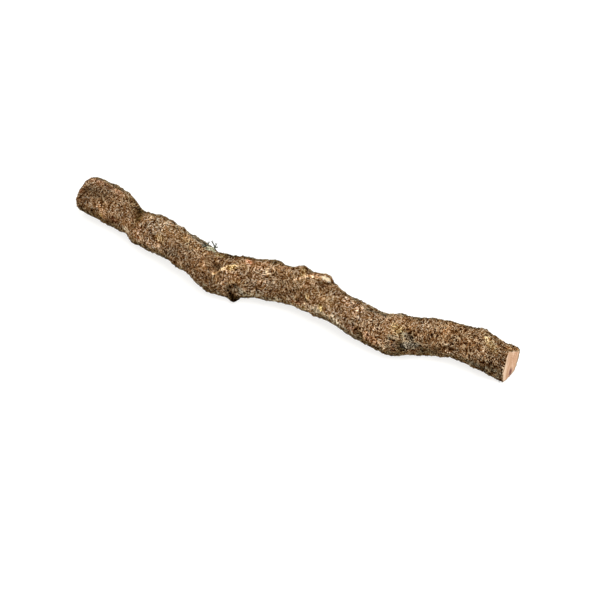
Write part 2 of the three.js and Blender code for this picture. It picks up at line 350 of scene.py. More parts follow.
    "light side of the leader": (
        [(-146, -14.5, 36), (-133.5, -15.1, 37.3), (-116, -19, 37)], 6.0, {"pale": 0.35}),
    "dark nub on the crest": ([(-119.5, 4.5, 39)], 2.0, {"lift": 1.6, "dark": 1.0}),
    "cream bark by the tuft": (
        [(-110, -9, 41), (-96, -18, 40), (-84.5, -19, 41.5)], 3.2, {"pale": 0.55, "olive": 0.2}),
    "lichen on the crest": ([(-113, 2, 38), (-91.5, -7, 42), (-83, -9, 41)], 3.4, {"crust": 0.75}),
    "olive bark by the tuft": ([(-64, -12, 39), (-58, -12, 39)], 2.8, {"olive": 0.8, "pale": 0.3}),
    "flecks before the fork": ([(-74, -27, 39), (-65, -34, 32.5)], 1.3, {"pale": 1.1, "smooth": 0.5}),
    "light edge of the leader": ([(-118, -27, 19), (-102, -29, 18)], 4.0, {"pale": 0.3}),
    # broad lights and darks, from the butt to the tip
    "dark side of the butt": ([(-259, 3, 31), (-250, 6, 38), (-234, 11, 40)], 11.0, {"dark": 0.38}),
    "light belly of the butt": ([(-233, -2, 24), (-219, -2, 24)], 6.0, {"pale": 0.4}),
    # painted shade: the crease of the neck, which is also sunk a little, and the neck's crest are darkened
    "crease of the neck": (
        [(-187, 14, 33), (-183.9, 10.3, 33.7), (-177.8, -3.8, 35.1), (-177.7, -10.7, 30)],
        4.5, {"lift": -0.6, "dark": 0.55}),
    "dark neck": ([(-203, 24, 35), (-196, 18, 35), (-180, 8, 35.5)], 8.0, {"dark": 0.7, "olive": 0.2}),
    "light belly of the leader": (
        [(-170, -16, 22), (-153, -20, 22), (-137, -22.3, 24)], 7.0, {"pale": 0.9}),
    "light crest of the leader": (
        [(-158, 1, 40), (-144, -2, 41), (-122, -4, 41), (-100, -10, 41)],
        9.0, {"pale": 0.8, "film_and_shade": 0.45}),
    "dark bark before the stub": (
        [(-64, -40, 24), (-56, -40.2, 23.5), (-49, -39, 17)], 7.0, {"dark": 0.5}),
    "light face of the fork": ([(-41, -31, 30), (-31, -28.5, 31)], 6.0, {"pale": 0.6}),
    "light bark by the crack": ([(-12, -21, 33), (-2, -19, 31)], 5.0, {"pale": 0.35}),
    "light bark over the stub": ([(-40, -25, 36.5), (-34, -25, 36), (-23, -23, 36)], 6.0, {"pale": 0.6}),
    "light crest over the lip": ([(-50, -15, 40), (-36, -11, 41.5)], 5.0, {"pale": 0.35}),
    "light crest past the fork": ([(-30, -11, 42), (-13, -5, 42)], 6.0, {"pale": 0.7}),
    "light belly past the fork": (
        [(-19, -27, 15), (-3, -20, 13), (15, -14.5, 13), (36, -14.5, 15)], 7.0, {"pale": 1.05}),
    "light belly past the knob": (
        [(36, -15.5, 18), (56, -17.8, 20), (75, -19.5, 20.5), (95, -24, 20)],
        8.0, {"pale": 1.0, "film_and_shade": 0.3}),
    "light belly before the knob": ([(14, -17, 19), (30, -15.8, 20)], 6.0, {"pale": 0.35}),
    "light belly of the bend": ([(98, -25, 20), (121, -26, 21)], 5.0, {"pale": 0.6}),
    "light side past the ledge": ([(56, -11, 37), (69, -10.8, 37.4)], 6.0, {"pale": 0.3}),
    "dark side before the tip": ([(214.8, 6.9, 31.8), (225.5, 5.9, 31.5)], 7.0, {"dark": 0.05}),
    "dark bark before the ledge": ([(12, -14, 34), (34, -13, 36)], 7.0, {"dark": 0.2}),
    "olive bark past the ledge": ([(62, -10, 39), (76, -12, 38)], 7.0, {"pale": 0.35, "film_and_shade": 0.4}),
    "dark belly of the hollow": ([(152, -25, 16), (160, -22.5, 15)], 6.0, {"dark": 0.4}),
    "light crest past the hollow": (
        [(157, -3, 38.5), (166, 2, 37.5), (181, 6, 37)], 8.0, {"pale": 0.6, "film_and_shade": 0.2}),
    "dark belly past the hollow": ([(181, -8, 17), (189, -4, 16)], 6.0, {"dark": 0.4}),
    "light belly past the hollow": ([(197, -1, 17), (211, 2, 17)], 6.0, {"pale": 0.6}),
    "light crest of the tip": ([(229, 18, 38.6), (240, 17.4, 38.5)], 5.0, {"pale": 0.35}),
    "dark side of the tip": ([(236, 6, 33), (246, 6.4, 32.4)], 6.0, {"dark": 0.2}),
    "dark belly of the tip": ([(238, 0.8, 20), (252, 0.6, 20)], 7.0, {"dark": 0.4}),
}

# a scar keeps its strength over most of its width and then falls off, the faster the higher this is
SCAR_EDGE = 3

# knots that the bark has closed over in rings: where each is, and how far its rings spread, in mm
WHORLS = [((80, -14.5, 35.5), 6.0), ((94, -22, 28.5), 4.0), ((-226, -2.2, 25), 5.0)]
RING_GAP = 3.2
RING_LIFT = 0.4
RING_TONE = 0.7
RING_WEAR = 0.9

scars_and_shade = {name: np.zeros(len(skin_points)) for name in FORM_CHANGES + COLOUR_CHANGES}
for places, width, changes in MARKS.values():
    closest = [np.argmin(np.linalg.norm(skin_points - place, axis=1)) for place in places]
    path = skin_points[closest]
    nearest = np.linalg.norm(skin_points - path[0], axis=1)
    for start, stop in zip(path[:-1], path[1:]):
        way = stop - start
        reached = np.clip((skin_points - start) @ way / (way @ way), 0, 1)
        off = np.linalg.norm(skin_points - start - np.outer(reached, way), axis=1)
        nearest = np.minimum(nearest, off)
    for name, amount in changes.items():
        scars_and_shade[name] += amount * np.exp(-((nearest / width) ** SCAR_EDGE))
for centre, reach in WHORLS:
    far = np.linalg.norm(skin_points - np.array(centre), axis=1)
    fade = np.exp(-((far / reach) ** 2))
    rings = np.cos(far * math.tau / RING_GAP) * fade
    scars_and_shade["lift"] += RING_LIFT * rings
    scars_and_shade["pale"] += RING_TONE * rings
    scars_and_shade["smooth"] += RING_WEAR * fade

# the saw tore the bark's edge and left it light, over this width in mm
TORN_EDGE = 2.6
TORN_LIGHT = 0.5
for middle, facing in saw_planes.values():
    from_cut = (np.array(middle) / MM - skin_points) @ np.array(facing)
    scars_and_shade["pale"] += TORN_LIGHT * np.exp(-((from_cut / TORN_EDGE) ** 2))

# painted shade with a grey-green algae tint: the underside and the side away from the lamps are darkened
# and tinted, and the underside darker still; it fills in over these ranges of a face's lean
SHADED_SIDE = (-0.36, 0.85, 0.25)
SHADED_LEAN = (0.4, 0.65)
UNDERSIDE_LEAN = (-0.5, 0.1)
UNDERSIDE_SHADE = 0.3
skin_normals = np.empty(len(skin_points) * 3, np.float32)
skin.vertices.foreach_get("normal", skin_normals)
skin_normals = skin_normals.reshape(-1, 3)
underneath = np.interp(skin_normals[:, 2], UNDERSIDE_LEAN, (1, 0))
shaded = np.interp(skin_normals @ np.array(SHADED_SIDE), SHADED_LEAN, (0, 1))
scars_and_shade["film_and_shade"] += np.maximum(underneath, shaded)
scars_and_shade["dark"] += UNDERSIDE_SHADE * underneath
for name, values in scars_and_shade.items():
    put(skin, name, values)


def linear(colour):
    """An sRGB hex colour as linear red, green, blue and alpha."""
    parts = [int(colour[i:i + 2], 16) / 255 for i in (1, 3, 5)]
    return tuple(p / 12.92 if p <= 0.04045 else ((p + 0.055) / 1.055) ** 2.4 for p in parts) + (1.0,)


def add(tree, kind, inputs=None, stops=(), **settings):
    """Adds a node with its settings, its links and, for a ramp, its stops from low to high.
    An input is a value, a hex colour or the socket that feeds it."""
    made = tree.nodes.new(kind)
    for name, value in settings.items():
        setattr(made, name, value)
    for name, value in (inputs or {}).items():
        if isinstance(value, bpy.types.NodeSocket):
            tree.links.new(value, made.inputs[name])
        elif isinstance(value, str) and value.startswith("#"):
            made.inputs[name].default_value = linear(value)
        else:
            made.inputs[name].default_value = value
    for place, _ in stops[1:-1]:
        made.color_ramp.elements.new(place)
    for index, (place, colour) in enumerate(stops):
        made.color_ramp.elements[index].position = place
        made.color_ramp.elements[index].color = linear(colour)
    return made


def weighted_sum(tree, base, *shares):
    """A base with shares of other values on top: each share is a value and its weight."""
    total = base
    for value, weight in shares:
        share = {0: value, 1: weight, 2: total}
        total = add(tree, "ShaderNodeMath", share, operation="MULTIPLY_ADD").outputs[0]
    return total


def crumbly(tree, place, patch, width, length):
    """The height, from 0 to 1, of short ridges in patches that each turn their own way. Sizes in mm."""
    bend = add(tree, "ShaderNodeTexNoise", {"Vector": place, "Scale": 1 / patch, "Detail": 1.0})
    centred = {0: bend.outputs["Color"], 1: (0.5, 0.5, 0.5)}
    away = add(tree, "ShaderNodeVectorMath", centred, operation="SUBTRACT").outputs[0]
    bending = {0: away, 1: (0.7 * patch,) * 3, 2: place}
    bent = add(tree, "ShaderNodeVectorMath", bending, operation="MULTIPLY_ADD").outputs[0]
    patches = add(tree, "ShaderNodeTexVoronoi", {"Vector": bent, "Scale": 1 / patch}, feature="F1")
    turning = {0: patches.outputs["Color"], "Scale": math.tau}
    turn = add(tree, "ShaderNodeVectorMath", turning, operation="SCALE").outputs[0]
    rotating = {"Vector": place, "Rotation": turn}
    turned = add(tree, "ShaderNodeVectorRotate", rotating, rotation_type="EULER_XYZ").outputs[0]
    drawing = {0: turned, 1: (width / length, 1.0, 1.0)}
    drawn = add(tree, "ShaderNodeVectorMath", drawing, operation="MULTIPLY").outputs[0]
    ridges = add(tree, "ShaderNodeTexNoise", {"Vector": drawn, "Scale": 1 / width, "Detail": 1.0})
    steep = {"Value": ridges.outputs["Fac"], "From Min": 0.3, "From Max": 0.7}
    return add(tree, "ShaderNodeMapRange", steep, interpolation_type="SMOOTHSTEP").outputs[0]


def wander(tree, place, size, detail):
    """Three values that drift over the bark, each round a half, in lumps of a size in mm."""
    noise = add(tree, "ShaderNodeTexNoise", {"Vector": place, "Scale": 1 / size, "Detail": detail})
    return add(tree, "ShaderNodeSeparateXYZ", {0: noise.outputs["Color"]}).outputs


# the bark's crumbs, from the ridges that its mesh has to the strokes and fibres of its colour, and the
# size of its lumps and of its small and broad patches, in mm
RIDGES = {"patch": 8.0, "width": 3.0, "length": 8.0}
STROKES = {"patch": 10.0, "width": 0.9, "length": 6.0}
FIBRES = {"patch": 8.0, "width": 0.95, "length": 5.0}
LUMP_SIZE = 14.0
PATCH_SIZE = 9.0
BROAD_SIZE = 32.0

# tones from pit to crest of the cork and of its crust: the darkest are partly painted shade for the pits'
# shadow
PIT_TO_CREST = [
    (0.08, "#1c0200"), (0.3, "#4b2701"), (0.52, "#89603a"), (0.75, "#b8946d"), (1, "#ecdabf"),
]
CRUST_TONES = [(0, "#23170b"), (0.3, "#6e5b42"), (0.6, "#b09b7a"), (1, "#f0e2c8")]
CASTS = {"rust": (1.14, 0.83, 0.74), "olive": (0.96, 1.0, 0.66), "film_and_shade": (0.9, 1.0, 0.98)}

# how much the fibres add to a crumb's height, and how deep the crumbs are round their middle height
FIBRE_SHARE = 0.82
MIDDLE_HEIGHT = 0.89
MIDDLE_TONE = 0.5
LEAST_DEPTH = 0.5
BROAD_DEPTH = 1.2
ROUGH_DEPTH = 0.7

# light is in stops, each of which doubles the cork's own tone
BASE_LIGHT = -2.14
PATCH_LIGHT = 2.1
BROAD_LIGHT = 1.7
# the dark change and the grey-green tint carry painted shade as well as the bark's own colour
SCAR_AND_SHADE_LIGHT = {"pale": 0.9, "dark": -1.6, "film_and_shade": -0.5}

# the cork's hue, and how one step of warmth changes it: the darker a patch is, the warmer
CORK_HUE = (1.06, 1.0, 0.91)
WARMER = (0.12, 0.0, -0.2)
COLDEST = -1.0
BASE_WARMTH = -1.3
PATCH_WARMTH = 0.8
BROAD_WARMTH = 1.6
LIGHT_WARMTH = -0.5

# lichen makes a thin pale crust, from a first trace to where it hides most of the cork
CRUST_TRACE = 0.9
CRUST_FULL = 1.25
CRUST_COVER = 0.85

# a colour mix's sockets: its share, its first and second colour, and what comes out
SHARE, FIRST, SECOND, MIXED = 0, 6, 7, 2
MIXING = {"data_type": "RGBA", "blend_type": "MIX"}
TINTING = {"data_type": "RGBA", "blend_type": "MULTIPLY"}


def cork_colour(tree, grain, height):
    """Cork's colour at a height of its crumbs, with its lighter, darker, warmer and greyer patches,
    its scars, its painted shade and its crust of lichen."""
    felt = {}
    for name in COLOUR_CHANGES:
        felt[name] = add(tree, "ShaderNodeAttribute", attribute_name=name).outputs["Fac"]
    patch_light, patch_warmth, patch_green = wander(tree, grain, PATCH_SIZE, 1.5)
    broad_light, broad_warmth, broad_depth = wander(tree, grain, BROAD_SIZE, 1.0)

    fibres = crumbly(tree, grain, **FIBRES)
    height = weighted_sum(tree, height, (fibres, FIBRE_SHARE))
    above = add(tree, "ShaderNodeMath", {0: height, 1: MIDDLE_HEIGHT}, operation="SUBTRACT").outputs[0]
    depth = weighted_sum(tree, LEAST_DEPTH, (broad_depth, BROAD_DEPTH), (felt["rough"], ROUGH_DEPTH))
    height = weighted_sum(tree, MIDDLE_TONE, (above, depth))

    patches = [(patch_light, PATCH_LIGHT), (broad_light, BROAD_LIGHT)]
    scars = [(felt[name], stops) for name, stops in SCAR_AND_SHADE_LIGHT.items()]
    light = weighted_sum(tree, BASE_LIGHT, *patches, *scars)
    gain = add(tree, "ShaderNodeMath", {0: 2.0, 1: light}, operation="POWER").outputs[0]
    tones = add(tree, "ShaderNodeValToRGB", {"Fac": height}, PIT_TO_CREST).outputs["Color"]
    lighting = {SHARE: 1.0, FIRST: tones, SECOND: gain}
    colour = add(tree, "ShaderNodeMix", lighting, **TINTING).outputs[MIXED]

    patches = [(patch_warmth, PATCH_WARMTH), (broad_warmth, BROAD_WARMTH)]
    warmth = weighted_sum(tree, BASE_WARMTH, *patches, (light, LIGHT_WARMTH))
    warmth = add(tree, "ShaderNodeMath", {0: warmth, 1: COLDEST}, operation="MAXIMUM").outputs[0]
    warming = {0: warmth, 1: WARMER, 2: CORK_HUE}
    hue = add(tree, "ShaderNodeVectorMath", warming, operation="MULTIPLY_ADD").outputs[0]
    tinting = {SHARE: 1.0, FIRST: colour, SECOND: hue}
    colour = add(tree, "ShaderNodeMix", tinting, **TINTING).outputs[MIXED]
    for name, cast in CASTS.items():
        staining = {SHARE: felt[name], FIRST: colour, SECOND: (*cast, 1.0)}
        colour = add(tree, "ShaderNodeMix", staining, **TINTING).outputs[MIXED]

    spread = weighted_sum(tree, felt["crust"], (patch_green, 1.2), (felt["film_and_shade"], 0.2))
    settling = {"Value": spread, "From Min": CRUST_TRACE, "From Max": CRUST_FULL, "To Max": CRUST_COVER}
    settled = add(tree, "ShaderNodeMapRange", settling, interpolation_type="SMOOTHSTEP").outputs[0]
    tones = add(tree, "ShaderNodeValToRGB", {"Fac": height}, CRUST_TONES).outputs["Color"]
    lighting = {SHARE: 1.0, FIRST: tones, SECOND: gain}
    crust = add(tree, "ShaderNodeMix", lighting, **TINTING).outputs[MIXED]
    crusting = {SHARE: settled, FIRST: colour, SECOND: crust}
    return add(tree, "ShaderNodeMix", crusting, **MIXING).outputs[MIXED]


def surface(name, roughness, shine):
    """A new material, its tree and the shader that its colour goes into."""
    material = bpy.data.materials.new(name)
    material.use_nodes = True
    shader = material.node_tree.nodes["Principled BSDF"]
    shader.inputs["Roughness"].default_value = roughness
    shader.inputs["Specular IOR Level"].default_value = shine
    return material, material.node_tree, shader


# Cork bark, grown and weathered: its dead cells hold air and scatter all light, so it never shines.
# Its worn crests are light tan, its pits near black in part as painted shade, and torn spots show pale
# wood.
BARK_BASE = 0.15
STROKE_SHARE = 0.5
RIDGE_SHARE = 0.04
STROKE_DEPTH = 0.9 * MM
WORN_SHARE = 0.65
WORN_HEIGHT = 0.6
WOOD_STREAK = 1.4
WOOD_STREAK_STRETCH = (0.08, 1.0, 1.0)
WOOD_TONES = [(0.3, "#cbaa7e"), (0.5, "#efdcb8"), (0.7, "#fdf4de")]
TORN_SHARE = 0.5
TORN_FROM, TORN_TO = 0.75, 0.95

bark, tree, shader = surface("cork bark", 1.0, 0.0)
grain = add(tree, "ShaderNodeAttribute", attribute_name="grain").outputs["Vector"]
strokes = crumbly(tree, grain, **STROKES)
ridges = crumbly(tree, grain, **RIDGES)
height = weighted_sum(tree, BARK_BASE, (strokes, STROKE_SHARE), (ridges, RIDGE_SHARE))
worn = add(tree, "ShaderNodeAttribute", attribute_name="smooth").outputs["Fac"]
wearing = {0: worn, 1: WORN_SHARE}
worn = add(tree, "ShaderNodeMath", wearing, operation="MULTIPLY", use_clamp=True).outputs[0]
levelling = {"Factor": worn, "A": height, "B": WORN_HEIGHT}
height = add(tree, "ShaderNodeMix", levelling, data_type="FLOAT").outputs["Result"]
colour = cork_colour(tree, grain, height)
stretching = {0: grain, 1: WOOD_STREAK_STRETCH}
wood_grain = add(tree, "ShaderNodeVectorMath", stretching, operation="MULTIPLY").outputs[0]
streaking = {"Vector": wood_grain, "Scale": 1 / WOOD_STREAK, "Detail": 2.0}
streaks = add(tree, "ShaderNodeTexNoise", streaking).outputs["Fac"]
wood = add(tree, "ShaderNodeValToRGB", {"Fac": streaks}, WOOD_TONES).outputs["Color"]
bare = add(tree, "ShaderNodeAttribute", attribute_name="bare").outputs["Fac"]
bare = weighted_sum(tree, bare, (strokes, TORN_SHARE))
tearing = {"Value": bare, "From Min": TORN_FROM, "From Max": TORN_TO}
torn = add(tree, "ShaderNodeMapRange", tearing, interpolation_type="SMOOTHSTEP").outputs[0]
colour = add(tree, "ShaderNodeMix", {SHARE: torn, FIRST: colour, SECOND: wood}, **MIXING).outputs[MIXED]
tree.links.new(colour, shader.inputs["Base Color"])
bumping = {"Height": strokes, "Strength": 1.0, "Distance": STROKE_DEPTH}
tree.links.new(add(tree, "ShaderNodeBump", bumping).outputs[0], shader.inputs["Normal"])

# how far the bark's ridges and its broader lumps rise from pit to crest, in mm, and the share of that
# which lies below the limb's skin
RIDGE_HEIGHT = 1.3
RIDGE_MIDDLE = 0.6
LUMP_HEIGHT = 3.0
LUMP_MIDDLE = 0.55

relief = bpy.data.node_groups.new("bark relief", "GeometryNodeTree")
relief.interface.new_socket("Skin", in_out="INPUT", socket_type="NodeSocketGeometry")
ridge_input = relief.interface.new_socket("Ridges mm", in_out="INPUT", socket_type="NodeSocketFloat")
lump_input = relief.interface.new_socket("Lumps mm", in_out="INPUT", socket_type="NodeSocketFloat")
relief.interface.new_socket("Bark", in_out="OUTPUT", socket_type="NodeSocketGeometry")
given = add(relief, "NodeGroupInput")
grain = add(relief, "GeometryNodeInputNamedAttribute", {"Name": "grain"}, data_type="FLOAT_VECTOR")
grain = grain.outputs["Attribute"]
lift = add(relief, "GeometryNodeInputNamedAttribute", {"Name": "lift"}, data_type="FLOAT")
lift = lift.outputs["Attribute"]
ridges = crumbly(relief, grain, **RIDGES)
ridges = add(relief, "ShaderNodeMath", {0: ridges, 1: RIDGE_MIDDLE}, operation="SUBTRACT").outputs[0]
lumping = {"Vector": grain, "Scale": 1 / LUMP_SIZE, "Detail": 1.0}
lumps = add(relief, "ShaderNodeTexNoise", lumping).outputs["Fac"]
lumps = add(relief, "ShaderNodeMath", {0: lumps, 1: LUMP_MIDDLE}, operation="SUBTRACT").outputs[0]
heights = ((ridges, given.outputs["Ridges mm"]), (lumps, given.outputs["Lumps mm"]))
rise = weighted_sum(relief, lift, *heights)
rise = add(relief, "ShaderNodeMath", {0: rise, 1: MM}, operation="MULTIPLY").outputs[0]
outward = {0: add(relief, "GeometryNodeInputNormal").outputs[0], "Scale": rise}
offset = add(relief, "ShaderNodeVectorMath", outward, operation="SCALE").outputs[0]
raised = add(relief, "GeometryNodeSetPosition", {"Geometry": given.outputs["Skin"], "Offset": offset})
coated = add(relief, "GeometryNodeSetMaterial", {"Geometry": raised.outputs[0], "Material": bark})
add(relief, "NodeGroupOutput", {"Bark": coated.outputs[0]})

growth = branch.modifiers.new("bark relief", "NODES")
growth.node_group = relief
growth[ridge_input.identifier] = RIDGE_HEIGHT
growth[lump_input.identifier] = LUMP_HEIGHT
bark_mesh = made_plain(branch)
bark_mesh.polygons.foreach_set("use_smooth", np.ones(len(bark_mesh.polygons), bool))

# The sawn ends
# The saw took both ends off square and left flat pale oak, with growth rings round the pith inside
# a thin rim of bark. They are the limb's own wood, so each one closes the bark's mesh.

# a cut face is made of rings at these shares of the way from its pith to its rim, and the pith counts
# as this many mm in from the rim
RING_SHARES = (0.975, 0.94, 0.87, 0.77, 0.65, 0.51, 0.36, 0.21, 0.09)
PITH_DEPTH = 20.0
OAK_SLOT = 1

sawn = bmesh.new()
sawn.from_mesh(bark_mesh)
inward = sawn.verts.layers.float.new("inward")
for middle, facing in saw_planes.values():
    whole = sawn.verts[:] + sawn.edges[:] + sawn.faces[:]
    bmesh.ops.bisect_plane(sawn, geom=whole, plane_co=middle, plane_no=facing, clear_outer=True)
    follows = {}
    for edge in sawn.edges:
        if edge.is_boundary:
            corner = edge.link_loops[0]
            follows[corner.link_loop_next.vert] = corner.vert
    rim = [max(follows, key=lambda vertex: vertex.co.z)]
    while follows[rim[-1]] is not rim[0]:
        rim.append(follows[rim[-1]])
    pith = sum((vertex.co for vertex in rim), Vector()) / len(rim)
    outer = rim
    for share in RING_SHARES:
        inner = []
        for vertex in rim:
            spoke = vertex.co - pith
            inner.append(sawn.verts.new(pith + spoke * share))
            inner[-1][inward] = spoke.length * (1 - share) / MM
        for i in range(len(rim)):
            face = sawn.faces.new((outer[i - 1], outer[i], inner[i], inner[i - 1]))
            face.material_index = OAK_SLOT
        outer = inner
    centre = sawn.verts.new(pith)
    centre[inward] = PITH_DEPTH
    for i in range(len(rim)):
        face = sawn.faces.new((outer[i - 1], outer[i], centre))
        face.material_index = OAK_SLOT

# the underside is rubbed flat where it lies on the ground
for vertex in sawn.verts:
    vertex.co.z = max(vertex.co.z, 0)
sawn.to_mesh(bark_mesh)
sawn.free()

# Sawn oak, cut across its grain and left raw: a dull pinkish tan with a slight sheen, faint rings and
# upright saw marks. Its near side has a painted highlight, and damp has stained it red-brown low down.
SAW_MARK = 3.333 * MM
SAW_MARK_STRETCH = (1.0, 1.0, 0.25)
GROWTH_RING = 2.4166
RING_WOBBLE = 5.0
RING_TINT = 0.08
OAK_TONES = [(0.25, "#a67d5d"), (0.5, "#c9a280"), (0.75, "#dec5aa")]
BLUSH_SIZE = 11.11 * MM
BLUSH = (1.0, 0.9, 0.88, 1.0)
# a painted highlight on the face's near side, full up to the first width across and gone by the second
NEAR_HIGHLIGHT = "#e8cfb2"
NEAR_HIGHLIGHT_SHARE = 0.45
HIGHLIGHT_FULL_TO, HIGHLIGHT_GONE_FROM = 9 * MM, 14 * MM
STAINED = "#6c3d35"
STAINED_SHARE = 0.95
STAIN = Vector((265.8, 20.5, 6)) * MM
STAIN_REACH = Vector((20, 4.5, 7)) * MM
STAIN_FULL, STAIN_END = 0.7, 1.5
STAIN_WOBBLE = 0.8

# the rim of bark in mm from the face's edge, and how much thicker it is on the far side
RIM = "#8f7757"
RIM_FULL, RIM_END = 1.1, 1.9
RIM_WOBBLE = 1.2
RIM_EXTRA = 1.2
THIN_RIM_TO, THICK_RIM_FROM = 24 * MM, 34 * MM

oak, tree, shader = surface("sawn oak", 0.8, 0.2)
depth = add(tree, "ShaderNodeAttribute", attribute_name="inward").outputs["Fac"]
place = add(tree, "ShaderNodeTexCoord").outputs["Object"]
across = add(tree, "ShaderNodeSeparateXYZ", {0: place}).outputs[1]
sawing = {0: place, 1: SAW_MARK_STRETCH}
sawing = add(tree, "ShaderNodeVectorMath", sawing, operation="MULTIPLY").outputs[0]
marking = {"Vector": sawing, "Scale": 1 / SAW_MARK, "Detail": 3.0}
mottle = add(tree, "ShaderNodeTexNoise", marking).outputs["Fac"]
ring_turn = weighted_sum(tree, 0.0, (depth, math.tau / GROWTH_RING), (mottle, RING_WOBBLE))
rings = add(tree, "ShaderNodeMath", {0: ring_turn}, operation="SINE").outputs[0]
tone = weighted_sum(tree, mottle, (rings, RING_TINT))
wood = add(tree, "ShaderNodeValToRGB", {"Fac": tone}, OAK_TONES).outputs["Color"]
blush = add(tree, "ShaderNodeTexNoise", {"Vector": place, "Scale": 1 / BLUSH_SIZE}).outputs["Fac"]
wood = add(tree, "ShaderNodeMix", {SHARE: blush, FIRST: wood, SECOND: BLUSH}, **TINTING).outputs[MIXED]
highlighting = {
    "Value": across, "From Min": HIGHLIGHT_FULL_TO, "From Max": HIGHLIGHT_GONE_FROM,
    "To Min": NEAR_HIGHLIGHT_SHARE, "To Max": 0.0,
}
highlighted = add(tree, "ShaderNodeMapRange", highlighting, interpolation_type="SMOOTHSTEP").outputs[0]
wood = add(tree, "ShaderNodeMix", {SHARE: highlighted, FIRST: wood, SECOND: NEAR_HIGHLIGHT}, **MIXING).outputs[MIXED]
off_stain = add(tree, "ShaderNodeVectorMath", {0: place, 1: STAIN}, operation="SUBTRACT").outputs[0]
reaching = {0: off_stain, 1: STAIN_REACH}
off_stain = add(tree, "ShaderNodeVectorMath", reaching, operation="DIVIDE").outputs[0]
off_stain = add(tree, "ShaderNodeVectorMath", {0: off_stain}, operation="LENGTH").outputs["Value"]
off_stain = weighted_sum(tree, off_stain, (mottle, STAIN_WOBBLE))
staining = {
    "Value": off_stain, "From Min": STAIN_FULL, "From Max": STAIN_END,
    "To Min": STAINED_SHARE, "To Max": 0.0,
}
stained = add(tree, "ShaderNodeMapRange", staining, interpolation_type="SMOOTHSTEP").outputs[0]
wood = add(tree, "ShaderNodeMix", {SHARE: stained, FIRST: wood, SECOND: STAINED}, **MIXING).outputs[MIXED]
thickening = {"Value": across, "From Min": THIN_RIM_TO, "From Max": THICK_RIM_FROM, "To Max": RIM_EXTRA}
thickened = add(tree, "ShaderNodeMapRange", thickening).outputs[0]
edge = weighted_sum(tree, depth, (thickened, -1.0), (mottle, RIM_WOBBLE))
rimming = {"Value": edge, "From Min": RIM_FULL, "From Max": RIM_END}
inside = add(tree, "ShaderNodeMapRange", rimming).outputs[0]
colour = add(tree, "ShaderNodeMix", {SHARE: inside, FIRST: RIM, SECOND: wood}, **MIXING).outputs[MIXED]
tree.links.new(colour, shader.inputs["Base Color"])
bark_mesh.materials.append(oak)

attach(branch, "root")
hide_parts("branch")

# The corky ridges
# Short crests of cork that weather has worked free all over the bark: bent, blunt and lying in swirls.
# They are rooted in the bark, and there are none on its smooth scars, by the saw cuts or underneath.

CREST_HALF = 1.6 * MM
CREST_RISE = 0.4 * MM
CREST_GIRTH = 0.34 * MM
CREST_BENDS = (0.2 * MM, 1.0 * MM, -1.4 * MM)
CREST_START, CREST_STOP = 0.35, 0.3
CRESTS_PER_SQUARE_METRE = 130000.0
CREST_SEEDS = {"corky_ridges": 4, "corky_crumbs": 9, "corky_flakes": 15}
BARE_MARGIN = 2.5 * MM

# the least and the most that a crest is stretched along, across and up, and that it leans in radians
CREST_STRETCH = ((0.5, 0.6, 0.6), (1.6, 1.3, 1.3))
CREST_LEAN = ((-0.15, -0.15, -0.5), (0.15, 0.15, 0.5))

# how many mm a swirl of crests is across, and how often it may turn them round
SWIRL_SIZE = 16.0
SWIRL_TURNS = 2.5

bark_points = points_of(bark_mesh)
from_saw = [(np.array(middle) - bark_points) @ np.array(facing) for middle, facing in saw_planes.values()]
covered = (np.min(from_saw, axis=0) > BARE_MARGIN) & (bark_points[:, 2] > BARE_MARGIN)
worn = np.empty(len(bark_points), np.float32)
bark_mesh.attributes["smooth"].data.foreach_get("value", worn)
put(bark_mesh, "cover", covered * np.clip(1 - worn, 0, 1))

# Weathered cork, crumbled by sun and frost: as dull as the bark under it, and speckled, because each
# crest is as light or as dark as its own luck.
CREST_BASE = 0.34
LUCK_SHARE = 0.52

cork, tree, shader = surface("weathered cork", 1.0, 0.0)
grain = add(tree, "ShaderNodeAttribute", attribute_name="grain").outputs["Vector"]
luck = add(tree, "ShaderNodeAttribute", attribute_name="luck").outputs["Vector"]
chance = add(tree, "ShaderNodeSeparateXYZ", {0: luck}).outputs[0]
chance = add(tree, "ShaderNodeMath", {0: chance, 1: 2.0}, operation="POWER").outputs[0]
ridges = crumbly(tree, grain, **RIDGES)
height = weighted_sum(tree, CREST_BASE, (chance, LUCK_SHARE), (ridges, RIDGE_SHARE))
tree.links.new(cork_colour(tree, grain, height), shader.inputs["Base Color"])

# a random value's sockets: the least and the most of a vector and of a whole number, its seed, and
# where the whole number comes out
LEAST, MOST, LEAST_WHOLE, MOST_WHOLE, SEED = 0, 1, 4, 5, 8
WHOLE = 2

scatter = bpy.data.node_groups.new("corky ridges", "GeometryNodeTree")
scatter.interface.new_socket("Bark", in_out="INPUT", socket_type="NodeSocketGeometry")
density_input = scatter.interface.new_socket(
    "Ridges per square metre", in_out="INPUT", socket_type="NodeSocketFloat")
seed_input = scatter.interface.new_socket("Seed", in_out="INPUT", socket_type="NodeSocketInt")
scatter.interface.new_socket("Ridges", in_out="OUTPUT", socket_type="NodeSocketGeometry")
given = add(scatter, "NodeGroupInput")

